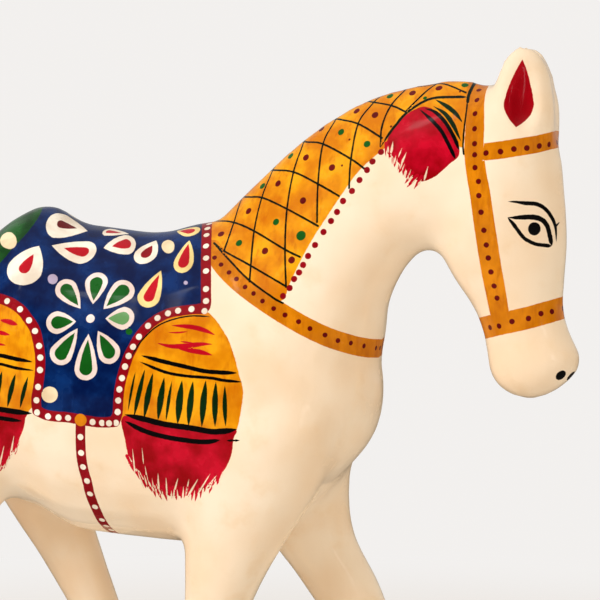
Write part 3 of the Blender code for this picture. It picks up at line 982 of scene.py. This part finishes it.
class Board:
    """Makes and joins the nodes of a material or a world, in place of those it had.

    An input is a socket or a plain value.
    """

    def __init__(self, owner):
        owner.use_nodes = True
        self.tree = owner.node_tree
        self.tree.nodes.clear()

    def node(self, kind, inputs=(), **settings):
        made = self.tree.nodes.new("ShaderNode" + kind)
        for name, value in settings.items():
            setattr(made, name, value)
        for key, value in dict(inputs).items():
            socket = made.inputs[key]
            if isinstance(value, bpy.types.NodeSocket):
                self.tree.links.new(value, socket)
            else:
                socket.default_value = value
        return made

    def math(self, operation, *values):
        inputs = dict(enumerate(values))
        return self.node("Math", inputs, operation=operation).outputs[0]

    def value(self, name):
        return self.node("Attribute", attribute_name=name).outputs["Fac"]

    def vector(self, name):
        return self.node("Attribute", attribute_name=name).outputs["Vector"]

    def split(self, vector):
        return self.node("SeparateXYZ", {0: vector}).outputs

    def mix(self, share, first, second, blend="MIX"):
        inputs = {0: share}
        for key, colour in ((FIRST_COLOUR, first), (SECOND_COLOUR, second)):
            linked = isinstance(colour, bpy.types.NodeSocket)
            inputs[key] = colour if linked else (*colour, 1.0)
        made = self.node("Mix", inputs, data_type="RGBA", blend_type=blend)
        return made.outputs[MIXED_COLOUR]

    def cloud(self, where, per_metre, detail=3.0, rough=0.55):
        inputs = {"Vector": where, "Scale": per_metre, "Detail": detail, "Roughness": rough}
        return self.node("TexNoise", inputs).outputs["Fac"]

    def steps(self, value, low, high, first=0.0, last=1.0):
        inputs = {"Value": value, 1: low, 2: high, 3: first, 4: last}
        return self.node("MapRange", inputs, interpolation_type="SMOOTHSTEP").outputs[0]

    def shown(self, gap):
        """The mask of what lies inside an edge, from the gap to it in millimetres."""
        return self.steps(gap, -SOFT_EDGE, SOFT_EDGE, 1.0, 0.0)


# The coats of marks, from the lowest to the topmost.
LAYERS = ("strap", "under", "over", "dot", "core")
SOFT_EDGE = 0.07


def tinted(board, ink, shade):
    """An ink laid unevenly: multiplied by a shade."""
    return board.mix(1.0, ink, shade, "MULTIPLY")


def coat(board, name, wobble, below, shade):
    """The nodes that paint one layer's marks over a colour, and its mask."""
    x, y, _ = board.split(board.vector(name + "_place"))
    bend, low, high = board.split(board.vector(name + "_span"))
    w0, w1, w2 = board.split(board.vector(name + "_width"))
    square = board.math("ADD", board.math("MULTIPLY", x, x), board.math("MULTIPLY", y, y))
    bent = board.math("MULTIPLY", bend, square)
    bow = board.math("SUBTRACT", board.math("MULTIPLY", y, 2.0), bent)
    rest = board.math("SUBTRACT", 1.0, board.math("MULTIPLY", bend, bow))
    root = board.math("SQRT", board.math("MAXIMUM", rest, 0.0))
    aside = board.math("DIVIDE", bow, board.math("ADD", root, 1.0))
    inside = board.math("MINIMUM", board.math("MAXIMUM", x, low), high)
    beyond = board.math("SUBTRACT", x, inside)
    squares = [board.math("MULTIPLY", gap, gap) for gap in (beyond, aside)]
    far = board.math("SQRT", board.math("ADD", *squares))
    slope = board.math("MULTIPLY_ADD", inside, w2, w1)
    width = board.math("MULTIPLY_ADD", inside, slope, w0)
    mask = board.shown(board.math("ADD", board.math("SUBTRACT", far, width), wobble))
    return board.mix(mask, below, tinted(board, board.vector(name + "_ink"), shade)), mask


# Noises of the paint: spots to a metre, levels of detail, and roughness where it isn't the
# usual one. Streaks are drawn out upwards.
NOISES = {
    "broad": (45.0, 2.0), "patch": (140.0, 3.0), "grain": (900.0, 2.0),
    "streak": (420.0, 3.0, 0.6),
}
STREAK_SCALE = (1.0, 1.0, 0.25)

# Grounds of paint: a colour, then others that it turns to with a noise, each with where in
# the noise the turn starts and ends and how much of the other colour it comes to.
GROUNDS = {
    "cream": (
        srgb(249, 222, 186), ("broad", 0.3, 0.7, 1, srgb(254, 236, 208)),
        ("patch", 0.5, 0.8, 0.4, srgb(240, 206, 158)),
    ),
    "ochre": (
        srgb(214, 122, 2), ("patch", 0.3, 0.72, 1, srgb(250, 172, 14)),
        ("streak", 0.5, 0.75, 0.65, srgb(200, 98, 0)),
    ),
    "blue": (
        srgb(0, 18, 66), ("patch", 0.35, 0.75, 1, srgb(4, 48, 110)),
        ("streak", 0.6, 0.8, 0.4, srgb(30, 72, 142)),
    ),
    "green": (srgb(8, 58, 12), ("patch", 0.35, 0.7, 1, srgb(34, 98, 38))),
    "red": (srgb(150, 0, 10), ("patch", 0.3, 0.75, 1, srgb(212, 4, 42))),
    "black": (HOOF,),
}

# The regions laid over the cream, from the lowest to the topmost, and their grounds.
REGIONS = {
    "hoof": "black", "tail": "ochre", "cloth": "blue", "rump": "green", "mane": "ochre",
    "shoulder_cap": "ochre", "hip_cap": "ochre", "shoulder_tuft": "red", "hip_tuft": "red",
    "cheek_tuft": "red",
}

# How far an edge of paint wanders, in millimetres, and how much more a region's does.
WANDER, REGION_WANDERS = 0.18, 1.6

# Heights, in millimetres, of a mark, of the patches and of the grain.
MARK_HEIGHT, PATCH_HEIGHT, GRAIN_HEIGHT = 0.0125, 0.22, 0.02

# Shades that inks are multiplied by: in thin and thick paint, and in a strap's streaks.
THIN, THICK, STREAKED = (0.80, 0.74, 0.70), (1.06, 1.08, 1.10), (0.70, 0.56, 0.40)
THICKENS, STREAKS = (0.3, 0.75), (0.42, 0.66, 0, 0.75)

# The lacquer. Its roughness turns with the patches, from the third value to the fourth.
ROUGHENS = (0.3, 0.8, 0.20, 0.32)
LACQUER = {
    "Coat Weight": 0.5, "Coat Roughness": 0.09, "Coat IOR": 1.5, "IOR": 1.48,
    "Specular IOR Level": 0.12,
}
BUMP_STRENGTH = 0.8


def ground(board, noises, first, *turns):
    """The uneven colour of a ground of paint."""
    colour = first
    for name, start, end, most, other in turns:
        share = board.steps(noises[name], start, end, 0, most)
        colour = board.mix(share, colour, other)
    return colour


def painted_material():
    """Paint by regions and marks, uneven as a brush leaves it, under gloss lacquer."""
    material = bpy.data.materials.new("painted_lacquer")
    board = Board(material)
    where = board.node("TexCoord").outputs["Object"]
    stretched = board.node("Mapping", {"Vector": where, "Scale": STREAK_SCALE}).outputs[0]
    noises = {}
    for name, settings in NOISES.items():
        noises[name] = board.cloud(stretched if name == "streak" else where, *settings)
    patch, grain = noises["patch"], noises["grain"]
    wobble = board.math("MULTIPLY_ADD", grain, WANDER, -WANDER / 2)
    wander = board.math("MULTIPLY", wobble, REGION_WANDERS)

    grounds = {name: ground(board, noises, *row) for name, row in GROUNDS.items()}
    colour = grounds["cream"]
    masks = {}
    for name, ground_name in REGIONS.items():
        mask = board.shown(board.math("ADD", board.value(name), wander))
        if name == "rump":
            mask = board.math("MULTIPLY", mask, masks["cloth"])
        masks[name] = mask
        colour = board.mix(mask, colour, grounds[ground_name])
    shade = board.mix(board.steps(patch, *THICKENS), THIN, THICK)
    streaky = board.mix(board.steps(noises["streak"], *STREAKS), shade, STREAKED)
    height = board.math("MULTIPLY", grain, GRAIN_HEIGHT)
    height = board.math("MULTIPLY_ADD", patch, PATCH_HEIGHT, height)
    for name in LAYERS:
        laid = streaky if name == "strap" else shade
        colour, mask = coat(board, name, wobble, colour, laid)
        height = board.math("MULTIPLY_ADD", mask, MARK_HEIGHT, height)
        if name == "strap":
            from_line = board.math("ABSOLUTE", board.value("cloth"))
            gap = board.math("SUBTRACT", from_line, BORDER_HALF_WIDTH)
            border = board.shown(board.math("ADD", gap, wobble))
            colour = board.mix(border, colour, tinted(board, BORDER_RED, shade))

    relief = {"Height": height, "Distance": MM, "Strength": BUMP_STRENGTH}
    surface = {
        "Base Color": colour, "Roughness": board.steps(patch, *ROUGHENS),
        "Normal": board.node("Bump", relief).outputs[0],
    }
    shader = board.node("BsdfPrincipled", {**surface, **LACQUER})
    board.node("OutputMaterial", {"Surface": shader.outputs[0]})
    return material


HOOF_HEIGHT = 10.5 * MM
TAIL_FRONT, TAIL_HALF_WIDTH, TAIL_FOOT = -77 * MM, 9 * MM, 50 * MM


def keep_heights(mesh):
    """Regions that need no outline: the hooves by height, the tail by how far back it is."""
    points = as_rows(mesh.vertices, "co")
    hoof = (points[:, 2] - HOOF_HEIGHT) / MM
    tail = np.maximum(points[:, 0] - TAIL_FRONT, np.abs(points[:, 1]) - TAIL_HALF_WIDTH)
    tail = np.maximum(tail, TAIL_FOOT - points[:, 2]) / MM
    keep(mesh, "hoof", "FLOAT", "POINT", hoof)
    keep(mesh, "tail", "FLOAT", "POINT", tail)


def make_camera():
    camera = put("camera", bpy.data.cameras.new("camera"))
    stand(camera, EYE, -BACK)
    camera.data.sensor_width = SENSOR_WIDTH
    camera.data.lens = SENSOR_WIDTH * DISTANCE / VIEW_WIDTH
    camera.data.clip_start, camera.data.clip_end = 0.01, 20
    bpy.context.scene.camera = camera


BACKDROP = (0.892, 0.872, 0.855)
FLOOR_RADIUS, FLOOR_CORNERS = 6.0, 96
PAPER = (0.80, 0.78, 0.75)
MIRRORED_FLOOR = (0.10, 0.085, 0.07)
FLOOR_FADES_FROM, FLOOR_FADES_TO = 0.12, 0.34


def make_floor():
    """A pale round floor. Seen far from the horse it takes the backdrop's colour."""
    points = []
    for k in range(FLOOR_CORNERS):
        angle = 2 * math.pi * k / FLOOR_CORNERS
        points.append((FLOOR_RADIUS * math.cos(angle), FLOOR_RADIUS * math.sin(angle), 0.0))
    mesh = bpy.data.meshes.new("floor")
    mesh.from_pydata(points, [], [range(FLOOR_CORNERS)])
    floor = put("floor", mesh)
    material = bpy.data.materials.new("pale_floor")
    board = Board(material)
    where = board.node("TexCoord").outputs["Object"]
    far = board.node("VectorMath", {0: where}, operation="LENGTH").outputs["Value"]
    faded = board.steps(far, FLOOR_FADES_FROM, FLOOR_FADES_TO)
    rays = board.node("LightPath").outputs
    looked_at = rays["Is Camera Ray"]
    paper = board.node("BsdfDiffuse", {"Color": (*PAPER, 1)}).outputs[0]
    glow = board.node("Emission", {"Color": (*BACKDROP, 1)}).outputs[0]
    share = board.math("MULTIPLY", faded, looked_at)
    mixed = board.node("MixShader", {0: share, 1: paper, 2: glow}).outputs[0]
    dim = board.node("Emission", {"Color": (*MIRRORED_FLOOR, 1)}).outputs[0]
    mixed = board.node("MixShader", {0: rays["Is Glossy Ray"], 1: mixed, 2: dim}).outputs[0]
    board.node("OutputMaterial", {"Surface": mixed})
    mesh.materials.append(material)


# Soft boxes: place, size, power, tint, and whether they only show in the lacquer.
LIT = (0, 0, 0.11)
LIGHTS = {
    "key": ((-0.70, -0.96, 0.82), (0.7, 0.6), 11.8, (1.0, 1.02, 1.10), False),
    "side": ((1.05, -0.66, 0.35), (0.35, 0.6), 1.9, (1.0, 1.0, 1.04), False),
    "gleam_high": ((-0.40, -0.92, 1.10), (0.07, 0.12), 0.085, (1, 1, 1), True),
    "gleam_side": ((0.95, -0.85, 0.40), (0.12, 0.30), 0.3, (1, 1, 1), True),
}

# The room: low down and in front, and high up or behind, as it lights and as it mirrors.
ROOM_DIM, ROOM_BRIGHT = (0.38, 0.27, 0.16), (0.86, 0.81, 0.74)

# How far back, and how far up, the room turns from dim to bright.
TURNS_BACK, TURNS_UP = (-0.15, 0.45), (0.35, 0.9)
MIRRORED_DIM, MIRRORED_BRIGHT = (0.02, 0.02, 0.02), (0.40, 0.40, 0.40)


def make_light(name, place, size, power, tint, gleam):
    light = bpy.data.lights.new(name, "AREA")
    light.shape = "RECTANGLE"
    light.size, light.size_y = size
    light.energy = power
    light.color = tint
    lamp = put(name, light)
    lamp.visible_glossy = gleam
    lamp.visible_diffuse = not gleam
    stand(lamp, place, Vector(LIT) - Vector(place))


def make_studio():
    """A pale room that lights the horse evenly, and is dim where the lacquer mirrors it."""
    world = bpy.data.worlds.new("studio")
    bpy.context.scene.world = world
    board = Board(world)
    _, back, up = board.split(board.node("TexCoord").outputs["Generated"])
    bright = board.math("MAXIMUM", board.steps(back, *TURNS_BACK), board.steps(up, *TURNS_UP))
    room = board.mix(bright, ROOM_DIM, ROOM_BRIGHT)
    mirrored = board.mix(bright, MIRRORED_DIM, MIRRORED_BRIGHT)
    rays = board.node("LightPath").outputs
    colour = board.mix(rays["Is Glossy Ray"], room, mirrored)
    colour = board.mix(rays["Is Camera Ray"], colour, BACKDROP)
    sky = board.node("Background", {"Color": colour, "Strength": 1.0}).outputs[0]
    board.node("OutputWorld", {"Surface": sky})
    for name, row in LIGHTS.items():
        make_light(name, *row)
    bpy.context.scene.view_settings.view_transform = "Standard"


make_camera()
horse = make_fine_skin(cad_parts["horse"])
keep_heights(horse.data)
paint(horse)
horse.data.materials.clear()
horse.data.materials.append(painted_material())
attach(horse, "root")
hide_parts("horse")
make_floor()
make_studio()
